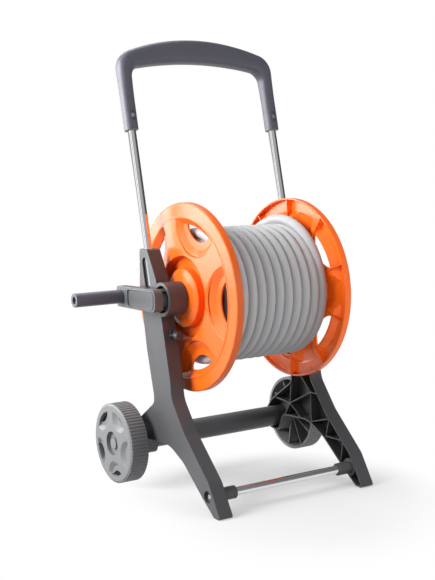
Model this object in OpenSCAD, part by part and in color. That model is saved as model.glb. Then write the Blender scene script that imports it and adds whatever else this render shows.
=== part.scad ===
// Garden hose reel cart.
// +Z is up, X goes across with the crank on the -X side, -Y is the front with the feet and
// +Y is the rear with the wheels.  Millimetres.  The origin is on the ground, under the
// middle of the box that holds everything but the hose.

/* [Drum] */
// Height of the drum's axis above the ground
axis_h = 362.5; // [320:0.5:420]
// How far the drum and crank are turned from level, front edge upwards, in degrees
drum_turn = 2.75; // [0:0.25:360]
// Outside diameter of a flange
flange_d = 350; // [300:1:400]
// Width of the drum over the outer planes of its two rims
drum_w = 253.4; // [200:0.2:300]
// Wall of the moulded flanges
flange_wall = 3; // [2:0.1:4]
// Width of the rim lip that turns in towards the hose
lip_w = 14; // [8:0.5:20]
// Width of the flat band inside the rim
band_w = 25; // [15:1:40]
// How far the arms of the star stand proud of the rim at the hub
star_rise = 4; // [0:0.5:10]
// Diameter of the deep round recess about the hub
hub_recess_d = 154; // [130:1:180]
// Diameter of the hub's dome where it meets the recess
dome_d = 109; // [90:1:125]
// Height of the dome's edge above the rim's plane
dome_edge_rise = 5; // [0:0.5:9]
// Depth of the hub recess below the rim's plane
hub_recess_depth = 10; // [4:0.5:12]
// Height of the hub's dome above the rim's plane
dome_rise = 10; // [6:0.5:14]
// Number of scooped pockets, which is also the number of arms
pocket_count = 5; // [4:1:6]
// Diameter of a pocket where it breaks the star's surface
pocket_d = 144; // [120:1:160]
// Diameter of a pocket's floor
pocket_floor_d = 110; // [90:1:130]
// Depth of a pocket's floor below the rim's plane
pocket_depth = 8; // [4:0.5:9]
// How far a window's outer edge lies inside the flat band, which is the slope's width there
window_inset = 14; // [8:1:20]
// Radial width of the lens-shaped window in each pocket
window_w = 26; // [10:1:30]
// Diameter of the arc on a window's inner side
window_arc_d = 95; // [80:1:160]
// Thickness of the fins on the hose side of a flange
fin_t = 2.2; // [1.5:0.1:4]
// Angle from a pocket's middle to the fins that cross it
fin_angle = 17.5; // [10:0.5:25]
// Outside diameter of the barrel
barrel_d = 137; // [120:1:140]
// Wall of the barrel
barrel_wall = 3; // [2:0.1:5]

/* [Hose] */
// Outside diameter of the hose
hose_d = 19.6; // [12:0.1:22]
// Distance between neighbouring turns
hose_pitch = 19.76; // [12:0.01:23]
// Turns in a layer
hose_turns = 11; // [6:1:16]
// Layers of hose on the barrel
hose_layers = 3; // [1:1:3]
// Diameter of the crimped ferrule where the hose starts, in the first layer
ferrule_d = 20; // [19:0.1:20]
// Length of that ferrule
ferrule_l = 32; // [20:1:40]
// Diameter of the connector on the hose's free end
connector_d = 25; // [20:0.5:30]
// Length of that connector
connector_l = 52; // [35:1:70]

/* [Side frames] */
// Width over the outer faces of the two side frames
frame_w = 347; // [300:1:400]
// Thickness of a side frame
frame_t = 27.6; // [20:0.2:35]
// Wall of the moulded frames
frame_wall = 3; // [2:0.1:4]
// Thickness of the stiffening ribs
rib_t = 2.4; // [1.5:0.1:4]
// Height of the frames' top face
frame_top = 449; // [400:1:500]
// Diameter of the boss that carries the drum
boss_d = 63; // [50:1:80]
// How far that boss stands out of a frame's outer face
boss_out = 2.6; // [0:0.2:10]
// Diameter of the recess in the boss's outer end
boss_recess_d = 50; // [40:1:58]
// Depth of that recess
boss_recess_depth = 12; // [5:1:20]
// How far below the drum's axis the peg that parks the nozzle stands
peg_drop = 65.5; // [52:0.5:100]
// Gap between a frame's boss and the hub of the flange beside it
hub_gap = 1.5; // [0.5:0.1:4]

/* [Handle] */
// Lean of the handle tubes to the rear, in degrees
lean = 14.7; // [0:0.1:30]
// Distance from a frame's outer face in to the axis of its handle tube
tube_inset = 10.8; // [9:0.1:18]
// Diameter of the handle tubes and the foot bar
tube_d = 16; // [12:0.5:22]
// Wall of those tubes
tube_wall = 1; // [0.8:0.1:2]
// Where a handle tube's axis crosses the frame's top, front to rear
tube_y = 72.4; // [50:0.2:90]
// Bare length of a handle tube between its frame and the handle
tube_bare = 226.6; // [150:0.2:320]
// How far a handle tube goes down into its frame
tube_in_frame = 78; // [40:1:100]
// How far a handle tube goes up into the handle
tube_in_handle = 84; // [40:1:95]
// Half depth of the handle's sleeves, front to back
sleeve_half = 13; // [11:0.5:20]
// Half depth of the handle's grip
grip_half = 17; // [12:0.5:24]
// Height of the grip's highest point above the sleeves' ends, along the lean
handle_rise = 181; // [150:1:220]
// Width of the grip's section at its middle
grip_w = 46.2; // [30:0.2:60]

/* [Wheels] */
// Diameter of a wheel
wheel_d = 152.8; // [120:0.2:200]
// Width of a wheel
wheel_w = 36.3; // [25:0.1:50]
// Length of the spacer between a side frame and its wheel
spacer_l = 18.7; // [4:0.1:50]
// Distance from the drum's axis back to the wheels' axle
axle_y = 99.9; // [60:0.1:140]
// Diameter of the axle
axle_d = 12; // [8:0.5:16]
// Diameter of the cross tube about the axle
cross_tube_d = 42; // [30:1:50]
// Wall of the cross tube
cross_tube_wall = 2.5; // [1.5:0.1:4]
// Ribs round a wheel's tread
tread_ribs = 72; // [48:2:96]
// Depth of the grooves between them
tread_depth = 1.2; // [0.5:0.1:3]

/* [Foot bar] */
// Distance from the drum's axis forward to the bar
bar_y = 151.1; // [120:0.1:190]
// Height of the bar's axis
bar_z = 31.4; // [25:0.1:60]
// Outside diameter of the sockets that hold the bar
socket_d = 23.5; // [20:0.5:32]
// How far a socket stands in from its frame
socket_l = 28.9; // [15:0.1:40]

/* [Crank] */
// Throw of the crank, from the drum's axis to the grip's
crank_throw = 108; // [80:1:140]
// Width of the crank arm at its hub
arm_w = 42; // [30:1:55]
// Width of the crank arm at its end
arm_end_w = 39; // [25:1:55]
// Thickness of the crank arm
arm_t = 17; // [10:0.5:25]
// How far the arm goes on past the grip's axis
arm_tail = 17; // [14:0.5:30]
// Gap between the crank arm and the boss's end
arm_gap = 9; // [2:0.5:20]
// Diameter of the crank's hub
crank_hub_d = 40; // [30:1:46]
// Diameter of the crank's spindle
spindle_d = 24; // [16:0.5:30]
// Diameter of the pin that the grip turns on
pin_d = 8; // [6:0.5:12]
// Diameter of that pin's head
pin_head_d = 12; // [9:0.5:18]
// Thickness of that pin's head
pin_head_t = 3; // [1:0.5:6]
// Length of the grip
crank_grip_l = 97; // [70:1:130]
// Diameter of the grip
crank_grip_d = 26; // [20:0.5:34]

/* [Water inlet] */
// Outside diameter of the hollow journal on the inlet side
journal_d = 30; // [24:0.5:36]
// Bore of the waterway
waterway_d = 13; // [8:0.5:16]
// Diameter of the elbow's spigot, which turns in the journal
spigot_d = 20; // [16:0.5:24]
// Length of that spigot
spigot_l = 21; // [12:0.5:30]
// Distance from the drum's axis down to the elbow's lower end
elbow_drop = 30; // [22:0.5:45]
// Diameter of the nipple that a tap hose's connector pushes onto
nipple_d = 16; // [12:0.5:20]

/* [Hidden] */
running = 0.05;  // radial clearance of a shaft that turns
seat = 0.2;      // clearance where one piece slides on another for good
gap = 0.5;       // clearance between faces that pass each other
over = 1;        // how far a cut runs past a face
$fn = 64;

rim_x = drum_w / 2;
flange_r = flange_d / 2;
step_r = flange_r - band_w;
window_r = step_r - window_inset;
recess_r = hub_recess_d / 2;
dome_r = dome_d / 2;
dome_round = 3.5;
dome_mid_r = (dome_r + boss_d / 2) / 2;
dome_mid_rise = dome_edge_rise + (dome_rise - dome_edge_rise) * 0.62;
barrel_r = barrel_d / 2;
outer_x = frame_w / 2;
inner_x = outer_x - frame_t;
tube_x = outer_x - tube_inset;
boss_in_x = rim_x + hub_gap + dome_rise;
boss_out_x = outer_x + boss_out;
axle_z = wheel_d / 2;
wheel_in_x = outer_x + spacer_l + 0.3;
wheel_out_x = wheel_in_x + wheel_w;
arm_in_x = boss_out_x + arm_gap;
arm_out_x = arm_in_x + arm_t;
first_layer_r = barrel_r + hose_d / 2 + seat;
last_layer_r = first_layer_r + (hose_layers - 1) * hose_d;
coil_x = rim_x - lip_w - gap;
function turn_x(i) = coil_x - hose_d / 2 - i * hose_pitch;
tail_r = last_layer_r + hose_pitch * sqrt(3) / 2;
tail_shift = 4;
tail_x = turn_x(0) - hose_pitch / 2;
screw_d = 4.5;

// ---- outline helpers ----

// Points of an arc about c from angle a0 to a1, both ends included
function arc(c, r, a0, a1, n = 6) =
    [for (i = [0:n]) let (a = a0 + (a1 - a0) * i / n) [c[0] + r * cos(a), c[1] + r * sin(a)]];

function unit(v) = v / norm(v);

// Closed outline through corners [a, b, radius], each corner rounded by its own radius
function rounded(corners, n = 5) = [
    for (i = [0:len(corners) - 1])
        let (
            here = [corners[i][0], corners[i][1]],
            prev_c = corners[(i + len(corners) - 1) % len(corners)],
            next_c = corners[(i + 1) % len(corners)],
            u = unit([prev_c[0], prev_c[1]] - here),
            v = unit([next_c[0], next_c[1]] - here),
            half = acos(u * v) / 2,
            cut = corners[i][2] / tan(half),
            centre = here + unit(u + v) * corners[i][2] / sin(half),
            from = here + u * cut - centre,
            to = here + v * cut - centre,
            a0 = atan2(from[1], from[0]),
            turn = (atan2(to[1], to[0]) - a0 + 540) % 360 - 180
        )
        for (p = arc(centre, corners[i][2], a0, a0 + turn, n)) p
];

// The same closed outline moved inwards by d, for an outline that runs clockwise
function inset(pts, d) = [
    for (i = [0:len(pts) - 1])
        let (
            u = unit(pts[i] - pts[(i + len(pts) - 1) % len(pts)]),
            v = unit(pts[(i + 1) % len(pts)] - pts[i]),
            nu = [u[1], -u[0]],
            nv = [v[1], -v[0]]
        )
        pts[i] + (nu + nv) * d / (1 + nu * nv)
];

// Extrudes a front-to-rear outline, given as (y, z), across from x0 to x1
module across(x0, x1) {
    translate([x0, 0, 0]) rotate([90, 0, 90]) linear_extrude(x1 - x0) children();
}

// A round bar along X from x0 to x1
module x_bar(x0, x1, d, y = 0, z = 0) {
    translate([x0, y, z]) rotate([0, 90, 0]) cylinder(d = d, h = x1 - x0);
}

// Puts a piece on the drum, turned with it
module on_drum() {
    translate([0, 0, axis_h]) rotate([-drum_turn, 0, 0]) children();
}

// Puts a piece on the handle's lean: the origin is where the tubes leave the frames
module on_lean() {
    translate([0, tube_y, frame_top]) rotate([-lean, 0, 0]) children();
}

// Keeps a piece for one side: side is -1 for the crank's side and 1 for the other
module to_side(side) {
    mirror([side < 0 ? 1 : 0, 0, 0]) children();
}

// ---- side frames ----

// The straight front edge beside the drum's boss, as (y, z)
front_low = [-25, 214];
front_top = [23, axis_h + 31.5];
function front_edge_y(z) =
    front_low[0] + (front_top - front_low)[0] * (z - front_low[1]) / (front_top - front_low)[1];

// Outline of a side frame, clockwise as seen from the +X side with the front on the left
function frame_outline() = rounded([
    [tube_y - 15.5, frame_top, 6],
    [tube_y + 13.5, frame_top, 6],
    [tube_y + 12, axis_h + 12, 60],
    [61, 262, 120],
    [35.5, 176, 14],
    [35.5, 162, 14],
    [axle_y + 4, axle_z + 36, 12],
    [axle_y + 27, axle_z + 4, 20],
    [axle_y + 8, axle_z - 27, 20],
    [axle_y - 24, axle_z - 25, 14],
    [axle_y - 38, axle_z + 10, 14],
    [-20, 94, 70],
    [-70, 73, 80],
    [-bar_y + 14, bar_z - 8, 60],
    [-bar_y - 21, 0, 10],
    [-bar_y - 42, 0, 4],
    [-bar_y - 4, bar_z + 25.6, 40],
    [-75, 126, 60],
    [-29, 181, 42],
    [front_low[0], front_low[1], 60],
    [front_top[0], front_top[1], 30]
]);

// Node points of the rib pattern, as (y, z)
rib_hub = [41, 116];
function rib_lines() = [
    [rib_hub, [36, 176]], [rib_hub, [-27, 152]], [rib_hub, [88, 118]], [rib_hub, [60, 84]],
    [rib_hub, [2, 92]], [[-27, 152], [-31, 90]], [[-27, 152], [-50, 153]], [[-27, 152], [49, 216]],
    [[-31, 93], [-90, 112]], [[-87, 111], [-76, 70]], [[-77, 74], [-128, 77]],
    [[-130, 76], [-124, 38]], [[49, 216], [-20, 250]], [[-20, 250], [67, 290]],
    [[67, 290], [2, 320]], [[26, 400], [90, 392]]
];

// A rib between two points of the (y, z) plane
module rib(a, b, x0, x1) {
    w = rib_t * [-(b - a)[1], (b - a)[0]] / norm(b - a) / 2;
    across(x0, x1) polygon([a + w, b + w, b - w, a - w]);
}

// Round holder for a handle tube, on the handle's lean
module tube_holder() {
    on_lean() translate([tube_x, 0, -tube_in_frame - frame_wall])
        cylinder(d = tube_d + 2 * frame_wall, h = tube_in_frame + 2 * frame_wall);
}

// Long window beside the tube in the outer face, with round ends
module side_window() {
    on_lean() for (z = [-68, -26])
        translate([outer_x - frame_wall - over, 0, z]) rotate([0, 90, 0])
            cylinder(d = 19, h = frame_wall + 2 * over);
    on_lean() translate([outer_x - frame_wall - over, -9.5, -68]) cube([frame_wall + 2 * over, 19, 42]);
}

stub_l = 14;            // length of the stub that a frame has in the cross tube
bar_screw_sunk = 6;     // how far the foot bar's screw is sunk into the frame's outer face
bar_recess_d = 22;      // diameter of that sinking
lock_screw_s = 20;      // distance from a frame's top down to the screw that locks the handle tube
bar_end_x = outer_x - bar_screw_sunk - frame_wall - seat;

// The right-hand frame; bore_d is the bore of its drum boss
module frame_shape(bore_d) {
    outline = frame_outline();
    inside = inset(outline, frame_wall);
    difference() {
        union() {
            difference() {
                across(inner_x, outer_x) polygon(outline);
                across(inner_x - over, outer_x - frame_wall) polygon(inside);
            }
            intersection() {
                across(inner_x, outer_x) polygon(outline);
                union() {
                    for (l = rib_lines()) rib(l[0], l[1], inner_x + 2, outer_x);
                    x_bar(inner_x, outer_x, cross_tube_d - 2 * cross_tube_wall - 2 * seat + 6, axle_y, axle_z);
                    x_bar(inner_x, outer_x, 34, -bar_y, bar_z);
                    tube_holder();
                }
            }
            x_bar(boss_in_x, boss_out_x, boss_d, 0, axis_h);
            x_bar(inner_x - socket_l, outer_x - frame_wall, socket_d, -bar_y, bar_z);
            x_bar(inner_x - stub_l, outer_x - frame_wall, cross_tube_d - 2 * cross_tube_wall - 2 * seat,
                axle_y, axle_z);
        }
        side_window();
        on_lean() translate([tube_x, 0, -tube_in_frame])
            cylinder(d = tube_d + 2 * seat, h = tube_in_frame + tube_d);
        x_bar(boss_in_x - over, boss_out_x + over, bore_d, 0, axis_h);
        x_bar(boss_out_x - boss_recess_depth, boss_out_x + over, boss_recess_d, 0, axis_h);
        x_bar(inner_x - socket_l - over, bar_end_x + seat, tube_d + 2 * seat, -bar_y, bar_z);
        x_bar(bar_end_x - over, outer_x + over, screw_d + 1, -bar_y, bar_z);
        x_bar(outer_x - bar_screw_sunk, outer_x + over, bar_recess_d, -bar_y, bar_z);
        x_bar(inner_x - stub_l - over, outer_x + over, axle_d + 2 * seat, axle_y, axle_z);
        // pilot hole for the screw that locks the handle tube, from the rear
        on_lean() translate([tube_x, -over, -lock_screw_s]) rotate([-90, 0, 0])
            cylinder(d = screw_d + 0.4, h = 2 * tube_d);
    }
}

module left_side_frame() color("#9aa0a6") to_side(-1) frame_shape(spindle_d + 2 * running);
module right_side_frame() color("#9aa0a6") frame_shape(journal_d + 2 * running);

// ---- handle ----

// Geometry of the handle's outline, in its own plane: x across, s up the lean
grip_arc = 450;       // radius of the grip's outer arch
under_arc = 747;      // radius of the grip's under side
corner_out = 38;
corner_in = 24;
sleeve_out = tube_x + 12.3;
sleeve_in = tube_x - 11.5;

// One side of the outline: up the sleeve, round the corner and along half of the arch
function half_outline(x, top, big, small, n_arch) =
    let (
        c_x = x - small,
        c_s = top - big + sqrt((big - small) * (big - small) - c_x * c_x),
        tilt = asin(c_x / (big - small))
    )
    concat(
        [for (i = [0:5]) [x, (c_s - 1) * i / 5]],
        arc([c_x, c_s], small, 0, 90 - tilt, 10),
        [for (i = [1:n_arch]) let (a = tilt * (1 - i / n_arch)) [big * sin(a), top - big + big * cos(a)]]
    );

outer_half = half_outline(sleeve_out, handle_rise, grip_arc, corner_out, 10);
inner_half = half_outline(sleeve_in, handle_rise - grip_w, under_arc, corner_in, 10);

// Whole outline from the right sleeve's end over the arch to the left one's
function mirrored(half) = concat(half, [for (i = [len(half) - 2:-1:0]) [-half[i][0], half[i][1]]]);
outer_line = mirrored(outer_half);
inner_line = mirrored(inner_half);

function power(v, e) = sign(v) * pow(abs(v), e);

// Half depth of the section whose middle is at height s
function half_depth(s) =
    let (k = max(0, min(1, (s - 60) / 80))) sleeve_half + (grip_half - sleeve_half) * k * k * (3 - 2 * k);

ring_n = 20;
function handle_ring(i) =
    let (o = outer_line[i], q = inner_line[i], c = (o + q) / 2, h = (o - q) / 2, d = half_depth(c[1]))
    [for (j = [0:ring_n - 1])
        let (
            a = 360 * j / ring_n,
            u = power(cos(a), 0.62),
            w = power(sin(a), 0.62)
        )
        [c[0] + h[0] * u, d * w, c[1] + h[1] * u]];

module handle_loop() {
    n = len(outer_line);
    points = [for (i = [0:n - 1]) for (p = handle_ring(i)) p];
    faces = concat(
        [[for (j = [0:ring_n - 1]) j]],
        [for (i = [0:n - 2]) for (j = [0:ring_n - 1]) let (k = (j + 1) % ring_n)
            [i * ring_n + j, (i + 1) * ring_n + j, (i + 1) * ring_n + k, i * ring_n + k]],
        [[for (j = [ring_n - 1:-1:0]) (n - 1) * ring_n + j]]
    );
    polyhedron(points, faces, convexity = 6);
}

screw_pocket_s = 27;   // height of the sleeve screws above the sleeves' ends

module handle_grip() {
    color("#4a4a52") on_lean() translate([0, 0, tube_bare]) difference() {
        handle_loop();
        for (side = [-1, 1]) {
            translate([side * tube_x, 0, -over]) cylinder(d = tube_d + 2 * seat, h = tube_in_handle + seat + over);
            for (z = [-5.5, 5.5])
                translate([side * tube_x, -sleeve_half - over, screw_pocket_s + z]) rotate([-90, 0, 0])
                    cylinder(d = 9, h = over + 2.5);
            translate([side * tube_x - 4.5, -sleeve_half - over, screw_pocket_s - 5.5]) cube([9, over + 2.5, 11]);
            translate([side * tube_x, -sleeve_half - over, screw_pocket_s]) rotate([-90, 0, 0])
                cylinder(d = screw_d, h = sleeve_half);
        }
    }
}

module handle_tube(side) {
    color("#d8d8dc") on_lean() translate([side * tube_x, 0, -tube_in_frame]) difference() {
        cylinder(d = tube_d, h = tube_in_frame + tube_bare + tube_in_handle);
        translate([0, 0, -over])
            cylinder(d = tube_d - 2 * tube_wall, h = tube_in_frame + tube_bare + tube_in_handle + 2 * over);
        translate([0, -tube_d, tube_in_frame + tube_bare + screw_pocket_s]) rotate([-90, 0, 0])
            cylinder(d = screw_d - 0.6, h = tube_d);
        translate([0, 0, tube_in_frame - lock_screw_s]) rotate([-90, 0, 0])
            cylinder(d = screw_d - 0.6, h = tube_d);
    }
}

// Pan-head screw along +Z with its head's underside at the origin
module screw(l, d = screw_d) {
    difference() {
        union() {
            translate([0, 0, -2]) cylinder(d = 8, h = 2);
            cylinder(d = d - 0.8, h = l);
        }
        translate([-2.6, -0.5, -2 - over]) cube([5.2, 1, over + 1.1]);
        translate([-0.5, -2.6, -2 - over]) cube([1, 5.2, over + 1.1]);
    }
}

module handle_screw(side) {
    color("#b8b8b8") on_lean()
        translate([side * tube_x, -sleeve_half + 2.5, tube_bare + screw_pocket_s]) rotate([-90, 0, 0]) screw(9);
}

// ---- foot bar ----

module foot_bar() {
    color("#d8d8dc") difference() {
        x_bar(-bar_end_x, bar_end_x, tube_d, -bar_y, bar_z);
        x_bar(-bar_end_x - over, bar_end_x + over, tube_d - 2 * tube_wall, -bar_y, bar_z);
    }
}

module bar_plug(side) {
    color("#303034") to_side(side) difference() {
        x_bar(bar_end_x - 24, bar_end_x, tube_d - 2 * tube_wall - 0.1, -bar_y, bar_z);
        x_bar(bar_end_x - 20, bar_end_x + over, screw_d - 0.8, -bar_y, bar_z);
    }
}

module bar_screw(side) {
    color("#b8b8b8") to_side(side)
        translate([outer_x - bar_screw_sunk, -bar_y, bar_z]) rotate([0, -90, 0]) screw(18);
}

// ---- wheels and axle ----

axle_end_x = wheel_out_x - 3;

module wheel_axle() {
    color("#a8a8ac") x_bar(-axle_end_x, axle_end_x, axle_d, axle_y, axle_z);
}

module cross_tube() {
    color("#3c3c42") difference() {
        x_bar(-inner_x, inner_x, cross_tube_d, axle_y, axle_z);
        x_bar(-inner_x - over, inner_x + over, cross_tube_d - 2 * cross_tube_wall, axle_y, axle_z);
    }
}

// Spacer between a side frame and its wheel
module axle_spacer(side) {
    color("#303034") to_side(side) difference() {
        x_bar(outer_x, outer_x + spacer_l, axle_d + 8, axle_y, axle_z);
        x_bar(outer_x - over, wheel_in_x + over, axle_d + 2 * seat, axle_y, axle_z);
    }
}

// Ribbed outline of the tread
function tread_outline() = [
    for (i = [0:tread_ribs - 1]) let (a = 360 * i / tread_ribs, w = 360 / tread_ribs)
        for (p = [[wheel_d / 2, a - 0.27 * w], [wheel_d / 2, a + 0.27 * w],
                  [wheel_d / 2 - tread_depth, a + 0.4 * w], [wheel_d / 2 - tread_depth, a + 0.6 * w]])
            [p[0] * cos(p[1]), p[0] * sin(p[1])]
];

wheel_pocket_step = 63;    // radius of the circle that the wheel's pockets reach
wheel_pocket_d = 60;
wheel_recess_d = 46;
wheel_hub_d = 28;
wheel_wall = 3;
wheel_turn = -8.5;

// The scoop of one pocket: a frustum that widens upwards about a point at_r out, kept inside
// another about the wheel's or flange's axis that reaches floor_reach at the floor
module scoop(reach, floor_reach, at_r, top_d, floor_d, top_z, floor_z) {
    intersection() {
        translate([at_r, 0, floor_z]) cylinder(d1 = floor_d, d2 = top_d, h = top_z - floor_z);
        translate([0, 0, floor_z]) cylinder(r1 = floor_reach, r2 = reach, h = top_z - floor_z);
    }
}

// A wheel standing on its outer face's plane: z = 0 is the outer plane, and it goes down from there
module wheel_shape() {
    difference() {
        union() {
            difference() {
                translate([0, 0, -wheel_w]) linear_extrude(wheel_w - 2) polygon(tread_outline());
                translate([0, 0, -wheel_w - over]) cylinder(d = wheel_d - 11, h = wheel_w - 2 - wheel_wall + over);
            }
            rotate_extrude() polygon([
                [wheel_recess_d / 2, -5], [wheel_d / 2 - 6, -5], [wheel_d / 2 - tread_depth, -3],
                [wheel_d / 2 - tread_depth, -2], [wheel_d / 2 - 4, 0], [wheel_recess_d / 2, wheel_rise]]);
            translate([0, 0, -9]) cylinder(d = wheel_recess_d + 2 * wheel_wall, h = 9);
            for (k = [0:pocket_count - 1]) rotate(k * 360 / pocket_count)
                scoop(wheel_pocket_step + wheel_wall, wheel_pocket_step + 1, wheel_pocket_step,
                    wheel_pocket_d + 5, wheel_pocket_d - 14, -4, -8);
            translate([0, 0, -wheel_w]) cylinder(d = wheel_hub_d, h = wheel_w - 6);
            for (k = [0:2 * pocket_count - 1]) rotate(18 + k * 180 / pocket_count)
                translate([wheel_hub_d / 2 - 1, -1.1, -wheel_w + 5])
                    cube([wheel_d / 2 - 5 - wheel_hub_d / 2, 2.2, wheel_w - 9]);
        }
        for (k = [0:pocket_count - 1]) rotate(k * 360 / pocket_count) {
            scoop(wheel_pocket_step, wheel_pocket_step - 3, wheel_pocket_step, wheel_pocket_d,
                wheel_pocket_d - 20, 2, -5);
            intersection() {
                translate([wheel_pocket_step + 12, 0, -wheel_w]) cylinder(d = 44, h = wheel_w + over);
                translate([0, 0, -wheel_w]) cylinder(r = wheel_pocket_step, h = wheel_w + over);
                translate([0, 0, -9.5]) cylinder(r = wheel_d, h = 14);
            }
        }
        translate([0, 0, -6]) cylinder(d = wheel_recess_d, h = 10);
        translate([0, 0, -wheel_w - over]) cylinder(d = axle_d + 2 * running, h = wheel_w + 2 * over);
    }
}

module wheel(side) {
    color("#8b9094") to_side(side) translate([wheel_out_x, axle_y, axle_z])
        rotate([-wheel_turn, 0, 0]) rotate([0, 90, 0]) rotate(-90) wheel_shape();
}

// Push-on cap that holds a wheel on the axle
module wheel_cap(side) {
    color("#3c3c42") to_side(side) difference() {
        x_bar(wheel_out_x - 6 + 0.3, wheel_out_x - 1, 22, axle_y, axle_z);
        x_bar(wheel_out_x - 6, axle_end_x, axle_d, axle_y, axle_z);
    }
}

// ---- drum ----

// A flange with its outside up: z = 0 is the rim's outer plane, and the hose is below
module flange_shape(bore_d) {
    w = flange_wall;
    difference() {
        union() {
            // rim lip, flat band, step, rising star and the recess round the hub's dome
            rotate_extrude($fn = 96) polygon(concat(
                [[flange_r - w, -lip_w], [flange_r, -lip_w]],
                arc([flange_r - 3, -3], 3, 0, 90, 4),
                [[step_r + 1, 0], [step_r - 1, 1.2], [recess_r + 2, star_rise]],
                arc([recess_r + 1.2, star_rise - 1.2], 1.2, 90, 180, 3),
                [[recess_r - 1.5, -hub_recess_depth], [dome_r + 1, -hub_recess_depth]],
                arc([dome_r - dome_round, dome_edge_rise - dome_round], dome_round, 0, 78, 6),
                [[dome_mid_r, dome_mid_rise], [boss_d / 2 - 2, dome_rise],
                 [bore_d / 2, dome_rise], [bore_d / 2, -lip_w], [bore_d / 2 + 4, -lip_w],
                 [bore_d / 2 + 4, dome_rise - w], [boss_d / 2 - 2, dome_rise - w],
                 [dome_mid_r - 0.6, dome_mid_rise - w]],
                arc([dome_r - dome_round, dome_edge_rise - dome_round], max(0.5, dome_round - w), 78, 0, 3),
                [[dome_r - w, -hub_recess_depth - w], [barrel_r - barrel_wall - 4, -hub_recess_depth - w],
                 [barrel_r - barrel_wall - 4, -lip_w],
                 [barrel_r + 4, -lip_w], [barrel_r + 4, -hub_recess_depth - w],
                 [recess_r + 1, -hub_recess_depth - w],
                 [recess_r + 3.5, star_rise - w], [step_r - 3, 1.2 - w], [step_r, -w], [flange_r - w, -w]]
            ));
            // the pockets' floors and walls, seen from the hose as smooth bulges
            for (k = [0:pocket_count - 1]) rotate(k * 360 / pocket_count)
                scoop(step_r + 1.5, window_r + w, step_r + 2, pocket_d + 2 * w, pocket_floor_d + 2 * w,
                    -0.5, -pocket_depth - w);
            // fins and cell walls up to the lip's edge
            intersection() {
                union() {
                    for (k = [0:pocket_count - 1], a = [-fin_angle, fin_angle])
                        rotate(k * 360 / pocket_count + a)
                            translate([barrel_r + 2, -fin_t / 2, -lip_w])
                                cube([flange_r - barrel_r - 3, fin_t, lip_w + star_rise - 1.5]);
                    difference() {
                        translate([0, 0, -pocket_depth - 5]) cylinder(r = 104, h = pocket_depth + 5);
                        translate([0, 0, -lip_w]) cylinder(r = 104 - fin_t, h = lip_w * 2);
                    }
                }
                rotate_extrude() polygon([[barrel_r, -lip_w], [flange_r - 1, -lip_w], [flange_r - 1, -1],
                    [step_r - 1, -0.5], [recess_r + 2, star_rise - 1.5], [recess_r, -hub_recess_depth - 1],
                    [barrel_r, -hub_recess_depth - 1]]);
            }
        }
        for (k = [0:pocket_count - 1]) rotate(k * 360 / pocket_count) {
            scoop(step_r + 0.5, window_r, step_r + 2, pocket_d, pocket_floor_d, star_rise, -pocket_depth);
            intersection() {
                translate([window_r - window_w + window_arc_d / 2, 0, -lip_w - over])
                    cylinder(d = window_arc_d, h = lip_w + 10);
                translate([0, 0, -lip_w - over]) cylinder(r = window_r - 1, h = lip_w + 10);
            }
        }
        // groove that seats the barrel's end
        translate([0, 0, -lip_w - over]) difference() {
            cylinder(r = barrel_r + seat, h = over + 3);
            translate([0, 0, -over]) cylinder(r = barrel_r - barrel_wall - seat, h = 3 + 3 * over);
        }
    }
}

module left_flange() {
    color("#f2711f") on_drum() translate([-rim_x, 0, 0]) rotate([0, -90, 0]) rotate(-90)
        flange_shape(spindle_d);
}

module right_flange() {
    color("#f2711f") on_drum() rotate([0, 0, 180]) translate([-rim_x, 0, 0]) rotate([0, -90, 0]) rotate(-90)
        flange_shape(journal_d);
}

barrel_x = rim_x - lip_w + 3;

module drum_barrel() {
    color("#d9601a") on_drum() difference() {
        x_bar(-barrel_x, barrel_x, barrel_d);
        x_bar(-barrel_x - over, barrel_x + over, barrel_d - 2 * barrel_wall);
        outlet_shape(seat);
    }
}

// ---- hose ----

// The outlet's riser and the ferrule that starts the hose in its first layer, grown by c
module outlet_shape(c) {
    translate([outlet_x, outlet_y, 0]) cylinder(d = outlet_d + 2 * c, h = first_layer_r);
    translate([outlet_x, c, first_layer_r]) rotate([90, 0, 0])
        cylinder(d = ferrule_d + 2 * c, h = ferrule_l + 2 * c);
}

// The end of the hose, from the top of the coil down its rear side, on the outermost turns, as far
// as where it hangs plumb
module hose_tail() {
    color("#a9abad") on_drum() translate([tail_x, tail_shift, 0]) rotate([0, -90, 0]) rotate(90)
        mirror([0, 1, 0]) rotate(drum_turn) rotate_extrude(angle = 90 - drum_turn)
            translate([tail_r, 0]) circle(d = hose_d, $fn = 32);
}

// Push-on connector on the free end, pointing down behind the coil
module hose_connector() {
    color("#3c3c42") on_drum() translate([tail_x, tail_shift, 0]) rotate([drum_turn, 0, 0])
            translate([0, tail_r, 0]) rotate([180, 0, 0]) difference() {
        union() {
            linear_extrude(connector_l * 0.4) polygon([for (i = [0:23]) for (k = [0, 1])
                (connector_d / 2 - k * 0.8) * [cos(15 * i + 7.5 * k), sin(15 * i + 7.5 * k)]]);
            translate([0, 0, connector_l * 0.4]) cylinder(d = connector_d - 4, h = connector_l * 0.2);
            translate([0, 0, connector_l * 0.55]) cylinder(d = connector_d, h = connector_l * 0.45);
        }
        translate([0, 0, connector_l - 18]) cylinder(d = nipple_d + 2 * running, h = 18 + over);
        translate([0, 0, 12]) cylinder(d = waterway_d - 3, h = connector_l);
    }
}

module hose_coil() {
    color("#a9abad") on_drum() difference() {
        union() {
            for (i = [0:hose_turns - 1]) translate([turn_x(i), 0, 0]) rotate([0, 90, 0])
                rotate_extrude() translate([last_layer_r, 0]) circle(d = hose_d, $fn = 24);
            x_bar(turn_x(hose_turns - 1), turn_x(0), 2 * last_layer_r);
        }
        x_bar(-rim_x, rim_x, barrel_d + 2 * seat);
        outlet_shape(seat);
    }
}

// ---- water inlet, through the hollow journal on the +X side ----

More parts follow.
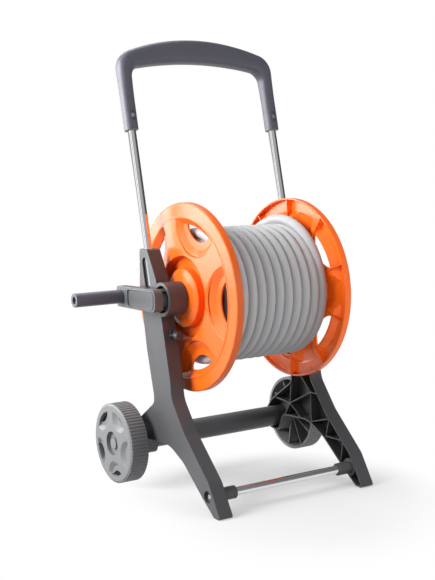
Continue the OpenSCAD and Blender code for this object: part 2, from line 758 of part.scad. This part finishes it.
outlet_inset = 17;    // from the barrel's crank-side end to the outlet's middle
outlet_x = -coil_x + outlet_inset;
outlet_d = 18;
outlet_y = -outlet_d / 2 - 1;
journal_out_x = boss_out_x + 4;
elbow_x = journal_out_x + gap + 12;

module water_hub() {
    color("#3c3c42") on_drum() difference() {
        union() {
            x_bar(outlet_x - outlet_d / 2 - 1, journal_out_x, journal_d);
            x_bar(rim_x - lip_w - 4, rim_x - lip_w, journal_d + 14);
            outlet_shape(0);
        }
        x_bar(outlet_x - waterway_d / 2, journal_out_x + over, waterway_d);
        x_bar(journal_out_x - spigot_l - gap, journal_out_x + over, spigot_d + 2 * running);
        translate([outlet_x, outlet_y, 0]) cylinder(d = waterway_d, h = first_layer_r);
        translate([outlet_x, over, first_layer_r]) rotate([90, 0, 0])
            cylinder(d = waterway_d, h = over - outlet_y);
    }
}

seal_d = 1.5;
seal_x = journal_out_x - spigot_l / 2;

// Elbow that a tap hose feeds: it turns freely in the journal, so it hangs straight down
module inlet_elbow() {
    color("#3c3c42") translate([0, 0, axis_h]) difference() {
        union() {
            x_bar(journal_out_x - spigot_l, elbow_x, spigot_d);
            x_bar(journal_out_x + gap, elbow_x + 13, journal_d);
            translate([elbow_x, 0, -elbow_drop]) cylinder(d = 24, h = elbow_drop);
        }
        x_bar(journal_out_x - spigot_l - over, elbow_x, waterway_d);
        translate([elbow_x, 0, -elbow_drop - over]) cylinder(d = waterway_d, h = elbow_drop + over);
        translate([seal_x - 1.2, 0, 0]) rotate([0, 90, 0]) difference() {
            cylinder(d = spigot_d + over, h = 2.4);
            translate([0, 0, -over]) cylinder(d = spigot_d - 2 * seal_d, h = 2.4 + 2 * over);
        }
    }
}

module inlet_seal() {
    color("#202022") translate([seal_x, 0, axis_h]) rotate([0, 90, 0])
        rotate_extrude() translate([spigot_d / 2 - seal_d / 2 + running / 2, 0]) circle(d = seal_d, $fn = 24);
}

// Threaded nut with the nipple for a push-on connector
module inlet_nipple() {
    color("#3c3c42") translate([elbow_x, 0, axis_h - elbow_drop]) rotate([180, 0, 0]) difference() {
        union() {
            cylinder(d = 28, h = 4);
            linear_extrude(11) polygon([for (i = [0:23]) for (k = [0, 1])
                (14 - k) * [cos(15 * i + 7.5 * k), sin(15 * i + 7.5 * k)]]);
            translate([0, 0, 11]) cylinder(d = nipple_d + 1.5, h = 11);
            translate([0, 0, 22]) cylinder(d = nipple_d - 4, h = 4);
            translate([0, 0, 26]) cylinder(d = nipple_d, h = 9);
            translate([0, 0, 35]) cylinder(d1 = nipple_d, d2 = nipple_d - 3, h = 2);
        }
        translate([0, 0, -over]) cylinder(d = waterway_d - 3, h = 40);
    }
}

// ---- crank ----

arm_corner = 9;

// Crank arm outline, in the drum's (y, z) plane with the arm to the rear
function arm_outline() = rounded([
    [-arm_w / 2 - 1, arm_w / 2, arm_corner + 3],
    [crank_throw + arm_tail, arm_end_w / 2, arm_corner - 3],
    [crank_throw + arm_tail, -arm_end_w / 2, arm_corner - 3],
    [-arm_w / 2 - 1, -arm_w / 2, arm_corner + 3]
]);

module crank_arm() {
    color("#9aa0a6") on_drum() difference() {
        union() {
            across(-arm_out_x, -arm_in_x) polygon(arm_outline());
            x_bar(-arm_in_x - over, -boss_out_x + boss_recess_depth - gap, crank_hub_d);
            x_bar(-arm_in_x, -rim_x + lip_w, spindle_d);
        }
        // shallow panel in the arm's outer face
        across(-arm_out_x - over, -arm_out_x + 1.5) polygon(rounded([
            [-15, 16.5, 10], [82, 15.5, 6], [82, -15.5, 6], [-15, -16.5, 10]]));
        // slots that lighten the hub
        for (a = [45:90:315]) rotate([a, 0, 0]) translate([-arm_in_x, -2.5, crank_hub_d / 2 - 4])
            cube([arm_in_x - boss_out_x + 8, 5, 5]);
        // screw hole from the inner end, and the hole for the grip's pin
        x_bar(-rim_x - 16, -rim_x + lip_w + over, screw_d);
        x_bar(-arm_out_x - over, -arm_in_x + over, pin_d, crank_throw, 0);
    }
}

module crank_bolt() {
    color("#b8b8b8") on_drum() translate([-rim_x + lip_w + 1.5, 0, 0]) rotate([0, -90, 0]) union() {
        cylinder(d = spindle_d + 6, h = 1.5);
        screw(26);
    }
}

grip_in_x = arm_out_x + gap;
pin_sunk = 9;    // how deep the pin's head lies in the grip's end
pin_head_x = -grip_in_x - crank_grip_l + pin_sunk + pin_head_t;

module crank_pin() {
    color("#b8b8b8") on_drum() union() {
        x_bar(pin_head_x, -arm_in_x - 4, pin_d, crank_throw, 0);
        x_bar(-arm_in_x - 4, -arm_in_x, pin_d - seat, crank_throw, 0);
        x_bar(pin_head_x - pin_head_t, pin_head_x, pin_head_d, crank_throw, 0);
    }
}

module crank_grip() {
    color("#45454c") on_drum() difference() {
        x_bar(-grip_in_x - crank_grip_l, -grip_in_x, crank_grip_d, crank_throw, 0);
        x_bar(-grip_in_x - crank_grip_l - over, -grip_in_x + over, pin_d + 2 * running, crank_throw, 0);
        x_bar(-grip_in_x - crank_grip_l - over, pin_head_x + running, pin_head_d + 2, crank_throw, 0);
    }
}

// ---- nozzle peg on the crank side's front edge ----

peg_z = axis_h - peg_drop;
peg_x = outer_x - 19;
peg_d = 16;
peg_base_d = 19;

module nozzle_peg() {
    color("#3c3c42") translate([-peg_x, front_edge_y(peg_z - 8), peg_z]) rotate([90, 0, 0]) union() {
        cylinder(d = peg_base_d, h = 3);
        for (a = [0, 90]) rotate(a) translate([-peg_base_d / 2 + 0.5, -1.5, 0]) cube([peg_base_d - 1, 3, 12]);
        cylinder(d = peg_d - 5, h = 14);
        translate([0, 0, 12]) cylinder(d = peg_d, h = 12);
    }
}

// ---- origin ----

wheel_rise = 1.6;
grip_end_x = grip_in_x + crank_grip_l;
toe_y = min([for (p = frame_outline()) p[0]]);
handle_y = max([for (i = [0:len(outer_line) - 1]) for (p = handle_ring(i))
    tube_y + (p[2] + tube_bare) * sin(lean) + p[1] * cos(lean)]);

// Moves a piece from the drum's middle plane and axis to the origin that the part is kept in
module placed() {
    translate([(grip_end_x - wheel_out_x - wheel_rise) / 2, -(toe_y + handle_y) / 2, 0]) children();
}

/* [Hidden] */

placed() left_side_frame();
placed() right_side_frame();
placed() handle_grip();
placed() handle_tube(-1);  // left_handle_tube
placed() handle_tube(1);  // right_handle_tube
placed() handle_screw(-1);  // left_handle_screw
placed() handle_screw(1);  // right_handle_screw
placed() foot_bar();
placed() bar_plug(-1);  // left_bar_plug
placed() bar_plug(1);  // right_bar_plug
placed() bar_screw(-1);  // left_bar_screw
placed() bar_screw(1);  // right_bar_screw
placed() wheel_axle();
placed() cross_tube();
placed() axle_spacer(-1);  // left_axle_spacer
placed() axle_spacer(1);  // right_axle_spacer
placed() wheel(-1);  // left_wheel
placed() wheel(1);  // right_wheel
placed() wheel_cap(-1);  // left_wheel_cap
placed() wheel_cap(1);  // right_wheel_cap
placed() left_flange();
placed() right_flange();
placed() drum_barrel();
placed() hose_coil();
placed() hose_tail();
placed() hose_connector();
placed() water_hub();
placed() inlet_elbow();
placed() inlet_seal();
placed() inlet_nipple();
placed() crank_arm();
placed() crank_bolt();
placed() crank_pin();
placed() crank_grip();
placed() nozzle_peg();
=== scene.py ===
"""Garden hose reel cart: two moulded side frames on wheels and feet, a push handle on two
chromed tubes, and a cranked drum between the frames with a wound hose.

Metres.  +Z is up, -X is the crank's side, -Y is the front with the feet.
"""
import math

import bmesh
import bpy
from mathutils import Matrix, Vector


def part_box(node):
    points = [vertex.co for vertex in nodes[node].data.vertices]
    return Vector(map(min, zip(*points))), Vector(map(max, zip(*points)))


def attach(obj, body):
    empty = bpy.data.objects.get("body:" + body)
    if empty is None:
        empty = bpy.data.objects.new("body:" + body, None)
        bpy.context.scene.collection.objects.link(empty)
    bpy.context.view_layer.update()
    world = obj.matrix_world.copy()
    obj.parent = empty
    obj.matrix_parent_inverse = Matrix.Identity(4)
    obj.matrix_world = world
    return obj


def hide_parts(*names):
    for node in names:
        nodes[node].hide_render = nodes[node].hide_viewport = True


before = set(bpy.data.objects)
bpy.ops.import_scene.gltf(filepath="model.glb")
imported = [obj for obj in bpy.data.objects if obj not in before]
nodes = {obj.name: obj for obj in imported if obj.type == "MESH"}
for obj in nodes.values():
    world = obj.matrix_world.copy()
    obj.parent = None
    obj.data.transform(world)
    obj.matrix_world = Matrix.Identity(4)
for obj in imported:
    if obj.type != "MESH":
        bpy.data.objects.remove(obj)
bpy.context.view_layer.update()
scene = bpy.context.scene


# ---- camera -------------------------------------------------------------------------------
# A long lens at the height of the handle's sleeves, in front of the cart and on the crank's
# side, so that the crank's frame is nearest and the drum is seen at an angle.
camera_data = bpy.data.cameras.new("camera")
camera_data.sensor_fit = "AUTO"
camera_data.sensor_width = 36
camera_data.lens = 66.54
camera_data.clip_start, camera_data.clip_end = 0.05, 30
camera = bpy.data.objects.new("camera", camera_data)
camera.location = (-1.1022, -1.6784, 0.6568)
camera.rotation_euler = (math.radians(81.85), math.radians(0.11), math.radians(-32.83))
scene.collection.objects.link(camera)
scene.camera = camera


# ---- side frames --------------------------------------------------------------------------
# One-piece injection-moulded legs in grey ABS, open and ribbed on the inside, with a fine
# matt grain.  The cross tube holds them apart at the wheels.  Small near-black mouldings
# space the wheels and park the nozzle.


def plastic(name, colour, rough, grain=0.0, grain_scale=2500, vary=0.06, edge=0.0, sheen=0.0):
    """Moulded plastic: a little uneven in colour and gloss, with the mould's grain in its skin.

    edge is the radius that softens the piece's sharp edges, in metres.
    """
    material = bpy.data.materials.new(name)
    material.use_nodes = True
    tree = material.node_tree
    shader = tree.nodes["Principled BSDF"]
    place = tree.nodes.new("ShaderNodeTexCoord")
    cloud = tree.nodes.new("ShaderNodeTexNoise")
    cloud.inputs["Scale"].default_value = 14
    cloud.inputs["Detail"].default_value = 5
    tree.links.new(place.outputs["Object"], cloud.inputs["Vector"])
    tint = tree.nodes.new("ShaderNodeMix")
    tint.data_type = "RGBA"
    tint.inputs["A"].default_value = (*[c * (1 - vary) for c in colour], 1)
    tint.inputs["B"].default_value = (*[min(1, c * (1 + vary)) for c in colour], 1)
    tree.links.new(cloud.outputs["Fac"], tint.inputs["Factor"])
    tree.links.new(tint.outputs["Result"], shader.inputs["Base Color"])
    spread = tree.nodes.new("ShaderNodeMapRange")
    spread.inputs["From Min"].default_value = 0.3
    spread.inputs["From Max"].default_value = 0.7
    spread.inputs["To Min"].default_value = rough * 0.88
    spread.inputs["To Max"].default_value = min(1, rough * 1.12)
    tree.links.new(cloud.outputs["Fac"], spread.inputs["Value"])
    tree.links.new(spread.outputs["Result"], shader.inputs["Roughness"])
    shader.inputs["Sheen Weight"].default_value = sheen
    normal = None
    if edge:
        normal = tree.nodes.new("ShaderNodeBevel")
        normal.samples = 6
        normal.inputs["Radius"].default_value = edge
    if grain:
        fine = tree.nodes.new("ShaderNodeTexNoise")
        fine.inputs["Scale"].default_value = grain_scale
        fine.inputs["Detail"].default_value = 2
        tree.links.new(place.outputs["Object"], fine.inputs["Vector"])
        bump = tree.nodes.new("ShaderNodeBump")
        bump.inputs["Strength"].default_value = grain
        bump.inputs["Distance"].default_value = 0.0002
        tree.links.new(fine.outputs["Fac"], bump.inputs["Height"])
        if normal:
            tree.links.new(normal.outputs["Normal"], bump.inputs["Normal"])
        normal = bump
    if normal:
        tree.links.new(normal.outputs["Normal"], shader.inputs["Normal"])
    return material


def finish_with(material, *names):
    """Gives CAD nodes a material in the place of the plain one that they come with."""
    for name in names:
        nodes[name].data.materials.clear()
        nodes[name].data.materials.append(material)


frame_plastic = plastic("grained mid-grey frame plastic", (0.062, 0.063, 0.068), 0.43, grain=0.35,
                        edge=0.0012)
finish_with(frame_plastic, "left_side_frame", "right_side_frame", "cross_tube")
dark_plastic = plastic("grained near-black plastic", (0.032, 0.032, 0.034), 0.45, grain=0.3,
                       edge=0.0008)
finish_with(dark_plastic, "left_axle_spacer", "right_axle_spacer", "nozzle_peg")


# ---- wheels -------------------------------------------------------------------------------
# Six-inch wheels moulded in one piece with a finely ribbed tread.  They turn on a zinc-plated
# steel axle, and a cap pushed on each of its ends holds them.
wheel_plastic = plastic("grained mid-grey wheel plastic", (0.176, 0.180, 0.186), 0.5, grain=0.3,
                        edge=0.001)
finish_with(wheel_plastic, "left_wheel", "right_wheel", "left_wheel_cap", "right_wheel_cap")


def metal(name, colour, rough, scratch=0.15):
    """Plated metal whose gloss is a little uneven, with faint marks in it if scratch is over 0."""
    material = bpy.data.materials.new(name)
    material.use_nodes = True
    tree = material.node_tree
    shader = tree.nodes["Principled BSDF"]
    shader.inputs["Base Color"].default_value = (*colour, 1)
    shader.inputs["Metallic"].default_value = 1
    place = tree.nodes.new("ShaderNodeTexCoord")
    smear = tree.nodes.new("ShaderNodeTexNoise")
    smear.inputs["Scale"].default_value = 40
    smear.inputs["Detail"].default_value = 4
    tree.links.new(place.outputs["Object"], smear.inputs["Vector"])
    spread = tree.nodes.new("ShaderNodeMapRange")
    spread.inputs["To Min"].default_value = rough * 0.7
    spread.inputs["To Max"].default_value = rough * 1.4
    tree.links.new(smear.outputs["Fac"], spread.inputs["Value"])
    tree.links.new(spread.outputs["Result"], shader.inputs["Roughness"])
    bump = tree.nodes.new("ShaderNodeBump")
    bump.inputs["Strength"].default_value = scratch
    bump.inputs["Distance"].default_value = 0.00005
    tree.links.new(smear.outputs["Fac"], bump.inputs["Height"])
    tree.links.new(bump.outputs["Normal"], shader.inputs["Normal"])
    return material


zinc = metal("bright zinc plate", (0.66, 0.67, 0.68), 0.28)
finish_with(zinc, "wheel_axle")


# ---- handle and foot bar ------------------------------------------------------------------
# A moulded grip bow in dark grey, pushed over two chromed steel tubes and held by a screw in
# each sleeve.  The foot bar is of the same tube, with a plug and a screw at each end.
handle_plastic = plastic("satin dark grey handle plastic", (0.092, 0.092, 0.119), 0.42, grain=0.25,
                         edge=0.0012)
finish_with(handle_plastic, "handle_grip")
chrome = metal("bright chrome plate", (0.80, 0.81, 0.82), 0.09, scratch=0)
tube_d = 0.016
tube_lean = math.radians(14.7)


def smooth_tube(name, lean):
    """A round tube in the place of a CAD node whose own facets would show in its reflections.

    The node is a straight tube that leans by an angle from +Z, or lies along X if lean is None.
    """
    low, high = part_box(name)
    if lean is None:
        length = high.x - low.x
        turn = Matrix.Rotation(math.pi / 2, 4, "Y")
    else:
        length = (high.z - low.z - tube_d * math.sin(lean)) / math.cos(lean)
        turn = Matrix.Rotation(-lean, 4, "X")
    mesh = bpy.data.meshes.new(name + " round")
    bm = bmesh.new()
    bmesh.ops.create_cone(bm, cap_ends=True, segments=96, radius1=tube_d / 2,
                          radius2=tube_d / 2, depth=length,
                          matrix=Matrix.Translation((low + high) / 2) @ turn)
    for face in bm.faces:
        face.smooth = len(face.verts) == 4
    for edge in bm.edges:                  # a crisp rim, so that the ends don't bend the shading
        edge.smooth = all(face.smooth for face in edge.link_faces)
    bm.to_mesh(mesh)
    bm.free()
    mesh.materials.append(chrome)
    tube = bpy.data.objects.new(name + "_round", mesh)
    scene.collection.objects.link(tube)
    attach(tube, "cart")
    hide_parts(name)
    return tube


chromed = [smooth_tube("left_handle_tube", tube_lean), smooth_tube("right_handle_tube", tube_lean),
           smooth_tube("foot_bar", None)]
finish_with(zinc, "left_handle_screw", "right_handle_screw", "left_bar_screw", "right_bar_screw")
finish_with(dark_plastic, "left_bar_plug", "right_bar_plug")


# ---- drum ---------------------------------------------------------------------------------
# Two glossy orange flanges of the same shape on a barrel.  Each is a thin star whose five
# sunk pockets are pierced, so that the wound hose is seen through them.
orange = plastic("glossy orange flange plastic", (0.84, 0.130, 0.008), 0.29, grain=0.05,
                 vary=0.03, edge=0.002)
finish_with(orange, "left_flange", "right_flange", "drum_barrel")
drum_centre = Vector((0.0346, 0.000419, 0.3625))
drum_turn = math.radians(2.75)


def on_drum(x, y, z):
    """The place of a point of the drum, given from its axis before the drum is turned."""
    c, s = math.cos(drum_turn), math.sin(drum_turn)
    return drum_centre + Vector((x, y * c + z * s, z * c - y * s))


# ---- hose ---------------------------------------------------------------------------------
# About 21 metres of five-eighths garden hose: soft grey PVC over a braid, with a satin skin.
# It starts at a ferrule on the barrel, is wound in three layers of eleven turns, and its free
# end lies over the last turn and goes down behind the coil into a push-on connector.
hose_d, hose_pitch = 0.0196, 0.01976
across = 10                                # pitches between the first and last turn of a layer
first_x = -0.0952                          # the middle of the first turn, across the drum
last_x = first_x + across * hose_pitch
inner_r = 0.0785
outer_r = inner_r + 2 * hose_d
tail_x, tail_r = 0.09252, 0.13881
points_per_turn = 48
# the turns at which two layers reach their far side and the third sets out, and those between
# which the hose climbs on to the next layer
layer_1_end, layer_2_end, layer_3_start = 10, 21, 22.75
climbs = ((9.85, 10.6), (20.85, 21.6))
# the turns between which the free end moves over, lifts and settles on the last turn
tail_shift, tail_lift, tail_settle = (32.72, 33.2), (32.76, 33.02), (33.0, 33.24)
lift_share = 0.82                          # how much of its rise comes before it settles


def ease(t, start, end):
    """0 before start, 1 after end, and a smooth step between them."""
    t = min(1, max(0, (t - start) / (end - start)))
    return t * t * (3 - 2 * t)


def hose_at(t):
    """How far across the drum the hose is after t turns, and how far from the axis."""
    if t < layer_1_end + 1:
        x = first_x + hose_pitch * min(t, across)
    elif t < layer_2_end + 1:
        x = last_x - hose_pitch * min(t - layer_1_end - 1, across)
    else:
        x = first_x + hose_pitch * min(max(t - layer_3_start, 0), across)
    r = inner_r + hose_d * sum(ease(t, *climb) for climb in climbs)
    x += (tail_x - last_x) * ease(t, *tail_shift)
    lift = lift_share * ease(t, *tail_lift) + (1 - lift_share) * ease(t, *tail_settle)
    r += (tail_r - outer_r) * lift
    return x, r


hose_turns = 33.25 - math.degrees(drum_turn) / 360     # the free end points straight down
steps = int(hose_turns * points_per_turn)
hose_line = []
for i in range(steps + 1):
    t = hose_turns * i / steps
    x, r = hose_at(t)
    a = 2 * math.pi * t
    hose_line.append(on_drum(x, r * math.sin(a), r * math.cos(a)))

hose_data = bpy.data.curves.new("hose", "CURVE")
hose_data.dimensions = "3D"
hose_data.bevel_depth = hose_d / 2
hose_data.bevel_resolution = 6
hose_data.use_fill_caps = True
spline = hose_data.splines.new("POLY")
spline.points.add(len(hose_line) - 1)
for point, place in zip(spline.points, hose_line):
    point.co = (*place, 1)
hose = bpy.data.objects.new("hose", hose_data)
scene.collection.objects.link(hose)

hose_skin = plastic("satin grey hose skin", (0.44, 0.45, 0.458), 0.55, grain=0.25, grain_scale=900,
                    sheen=0.1)
hose_data.materials.append(hose_skin)
connector_plastic = plastic("near-black connector plastic", (0.035, 0.035, 0.04), 0.42, grain=0.2,
                            edge=0.0006)
finish_with(connector_plastic, "hose_connector")
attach(hose, "drum")
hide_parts("hose_coil", "hose_tail")


# ---- crank --------------------------------------------------------------------------------
# A flat moulded arm in grey plastic whose colour is painted lighter than the frames' as painted
# light, with a thin raised bead round its bare panel, and a dark grip that turns on a steel pin.
# painted light: the arm's colour is set lighter than the frames' grey so that it shows as bright as
# their lit face
crank_plastic_painted_lighter = plastic("grained crank plastic painted lighter as painted light", (0.095, 0.098, 0.104), 0.40, grain=0.35,
                        edge=0.0016)
finish_with(crank_plastic_painted_lighter, "crank_arm")
finish_with(handle_plastic, "crank_grip")
finish_with(zinc, "crank_bolt", "crank_pin")


def rounded_corners(corners, steps=8):
    """Points round a convex outline whose corners are given as (y, z, radius)."""
    points = []
    for i, (y, z, r) in enumerate(corners):
        here = Vector((y, z))
        back = (Vector(corners[i - 1][:2]) - here).normalized()
        ahead = (Vector(corners[(i + 1) % len(corners)][:2]) - here).normalized()
        half = back.angle(ahead) / 2
        centre = here + (back + ahead).normalized() * r / math.sin(half)
        start = here + back * r / math.tan(half) - centre
        end = here + ahead * r / math.tan(half) - centre
        for k in range(steps + 1):
            points.append(centre + start.slerp(end, k / steps) * r)
    return points


# the bead, half sunk in the arm's outer face: wider at the hub's end than at the grip's
bead_r = 0.0013
hub_end_y, hub_end_z, hub_end_r = -0.0155, 0.0170, 0.0105
grip_end_y, grip_end_z, grip_end_r = 0.0825, 0.0160, 0.0065
bead_line = rounded_corners([(hub_end_y, hub_end_z, hub_end_r),
                             (grip_end_y, grip_end_z, grip_end_r),
                             (grip_end_y, -grip_end_z, grip_end_r),
                             (hub_end_y, -hub_end_z, hub_end_r)])
arm_face_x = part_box("crank_arm")[0].x - drum_centre.x
bead_data = bpy.data.curves.new("panel bead", "CURVE")
bead_data.dimensions = "3D"
bead_data.bevel_depth = bead_r
bead_data.bevel_resolution = 3
spline = bead_data.splines.new("POLY")
spline.points.add(len(bead_line) - 1)
spline.use_cyclic_u = True
for point, (y, z) in zip(spline.points, bead_line):
    point.co = (*on_drum(arm_face_x, y, z), 1)
bead_data.materials.append(crank_plastic_painted_lighter)
bead = bpy.data.objects.new("panel_bead", bead_data)
scene.collection.objects.link(bead)
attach(bead, "drum")


# ---- water inlet --------------------------------------------------------------------------
# The near-black water way on the side away from the crank: a hub with the hollow journal that
# the drum turns on, and an elbow that swivels in it, with a seal and the tap hose's nipple.
finish_with(dark_plastic, "water_hub", "inlet_elbow", "inlet_seal", "inlet_nipple")


# ---- floor --------------------------------------------------------------------------------
# A white sweep.  Close to the cart it is matt and takes a shadow, and a painted shade keeps it
# a little under white in a patch centred just in front of the cart.  Further out it is plain
# white.  It is seen by the camera and in reflections.
floor_mesh = bpy.data.meshes.new("floor")
bm = bmesh.new()
bmesh.ops.create_grid(bm, x_segments=1, y_segments=1, size=12)
bm.to_mesh(floor_mesh)
bm.free()
floor = bpy.data.objects.new("floor", floor_mesh)
floor.location = (0, 0, -0.0002)           # just under the wheels and the feet
scene.collection.objects.link(floor)


def shading(tree, kind, colour=(1, 1, 1), strength=None):
    """A new shader node of one colour, and of one strength if it shines."""
    node = tree.nodes.new(kind)
    node.inputs["Color"].default_value = (*colour, 1)
    if strength is not None:
        node.inputs["Strength"].default_value = strength
    return node


def mixed(tree, share, first, second):
    """A new node that goes from the first shader to the second as share goes from 0 to 1."""
    node = tree.nodes.new("ShaderNodeMixShader")
    tree.links.new(share, node.inputs["Fac"])
    tree.links.new(first.outputs[0], node.inputs[1])
    tree.links.new(second.outputs[0], node.inputs[2])
    return node


def smooth_fade(tree, value, start, end, low=0.0, high=1.0):
    """A value that goes smoothly from low to high as the given one goes from start to end."""
    node = tree.nodes.new("ShaderNodeMapRange")
    node.interpolation_type = "SMOOTHSTEP"
    node.inputs["From Min"].default_value = start
    node.inputs["From Max"].default_value = end
    node.inputs["To Min"].default_value = low
    node.inputs["To Max"].default_value = high
    tree.links.new(value, node.inputs["Value"])
    return node.outputs["Result"]


floor_with_painted_shade = bpy.data.materials.new("white sweep")
floor_with_painted_shade.use_nodes = True
tree = floor_with_painted_shade.node_tree
tree.nodes.clear()
path = tree.nodes.new("ShaderNodeLightPath")
seen = tree.nodes.new("ShaderNodeMath")
seen.operation = "MAXIMUM"
tree.links.new(path.outputs["Is Camera Ray"], seen.inputs[0])
tree.links.new(path.outputs["Is Glossy Ray"], seen.inputs[1])
# near the cart, a painted shade patch: matt white that takes a shadow, with a glow that paints
# light into the shadow so that it stays pale, the two together a little under white
near = tree.nodes.new("ShaderNodeAddShader")
matt = shading(tree, "ShaderNodeBsdfDiffuse", (0.39, 0.39, 0.395))
lift = shading(tree, "ShaderNodeEmission", strength=0.40)
tree.links.new(matt.outputs["BSDF"], near.inputs[0])
tree.links.new(lift.outputs["Emission"], near.inputs[1])
# far from it: plain white
far = shading(tree, "ShaderNodeEmission", strength=1)
place = tree.nodes.new("ShaderNodeTexCoord")
# the painted shade patch is centred just in front of the cart and fades to plain white from 0.17 to
# 0.34 m out
reach = tree.nodes.new("ShaderNodeVectorMath")
reach.operation = "DISTANCE"
reach.inputs[1].default_value = (0.02, -0.17, 0)
tree.links.new(place.outputs["Object"], reach.inputs[0])
sweep = mixed(tree, smooth_fade(tree, reach.outputs["Value"], 0.17, 0.34), near, far)
# what bounces on to the cart is an ordinary pale floor
plain = shading(tree, "ShaderNodeBsdfDiffuse", (0.30, 0.30, 0.31))
choose = mixed(tree, seen.outputs["Value"], plain, sweep)
out = tree.nodes.new("ShaderNodeOutputMaterial")
tree.links.new(choose.outputs["Shader"], out.inputs["Surface"])
floor_mesh.materials.append(floor_with_painted_shade)


# ---- lights and background ----------------------------------------------------------------
# A large soft light high on the crank's side, weaker ones behind, on the right and low in
# front of the drum, and white cards that the glossy plastic and the chrome show.  The
# surround is white to the camera.


def softbox(name, place, aim, size, power, diffuse=True, glossy=True, skips=(), only=()):
    """A rectangular area light at place that shines at aim.

    Without diffuse it is a card that only reflects, and without glossy no reflection shows it.
    The objects in skips get nothing from it, or those in only are all that do.
    """
    data = bpy.data.lights.new(name, "AREA")
    data.shape = "RECTANGLE"
    data.size, data.size_y = size
    data.energy = power
    lamp = bpy.data.objects.new(name, data)
    lamp.location = place
    lamp.rotation_euler = (Vector(aim) - Vector(place)).to_track_quat("-Z", "Y").to_euler()
    lamp.visible_diffuse = diffuse
    lamp.visible_glossy = glossy
    scene.collection.objects.link(lamp)
    if skips or only:
        listed = bpy.data.collections.new(name + " pieces")
        lamp.light_linking.receiver_collection = listed
        for piece in (*skips, *only):
            listed.objects.link(piece)
        if skips:
            for entry in listed.collection_objects:
                entry.light_linking.link_state = "EXCLUDE"


softbox("key softbox", (-2.3, 0.5, 1.5), (0, 0, 0.35), (1.5, 1.5), 124, glossy=False)
softbox("rear top softbox", (0.3, 1.5, 2.6), (0, 0, 0.3), (1.6, 1.6), 30)
softbox("rear card", (-1.45, 1.75, 0.95), (-0.1, 0, 0.4), (1.7, 1.6), 66, diffuse=False,
        skips=chromed)
softbox("right fill", (1.3, -2.2, 1.1), (0, 0, 0.4), (1.6, 1.6), 26, glossy=False)
softbox("low hose fill", (-1.0, -1.7, 0.12), (0.1, 0, 0.3), (1.0, 0.3), 4.5, glossy=False,
        only=[hose])
softbox("low flange fill", (-1.0, -1.7, 0.12), (0.2, 0, 0.3), (1.0, 0.3), 18, glossy=False,
        only=[nodes["right_flange"]])
softbox("left card", (-2.4, 0.5, 0.9), (0, 0, 0.5), (0.9, 2.2), 5.9, diffuse=False)
softbox("front card", (-2.3, -0.95, 0.9), (0, 0, 0.5), (0.7, 2.2), 4.4, diffuse=False)

world = bpy.data.worlds.new("white surround")
scene.world = world
world.use_nodes = True
tree = world.node_tree
tree.nodes.clear()
path = tree.nodes.new("ShaderNodeLightPath")
white = shading(tree, "ShaderNodeBackground", strength=1)
even = shading(tree, "ShaderNodeBackground", strength=0.42)
# reflections show a studio that is dark on the right of the camera and pale everywhere else
studio = shading(tree, "ShaderNodeBackground")
place = tree.nodes.new("ShaderNodeTexCoord")
side = tree.nodes.new("ShaderNodeVectorMath")
side.operation = "DOT_PRODUCT"
side.inputs[1].default_value = Vector((0.95, -0.1, 0.2)).normalized()
tree.links.new(place.outputs["Generated"], side.inputs[0])
tree.links.new(smooth_fade(tree, side.outputs["Value"], 0.45, 0.9, 0.46, 0.06),
               studio.inputs["Strength"])
lit = mixed(tree, path.outputs["Is Glossy Ray"], even, studio)
choose = mixed(tree, path.outputs["Is Camera Ray"], lit, white)
out = tree.nodes.new("ShaderNodeOutputWorld")
tree.links.new(choose.outputs["Shader"], out.inputs["Surface"])

scene.view_settings.view_transform = "Standard"
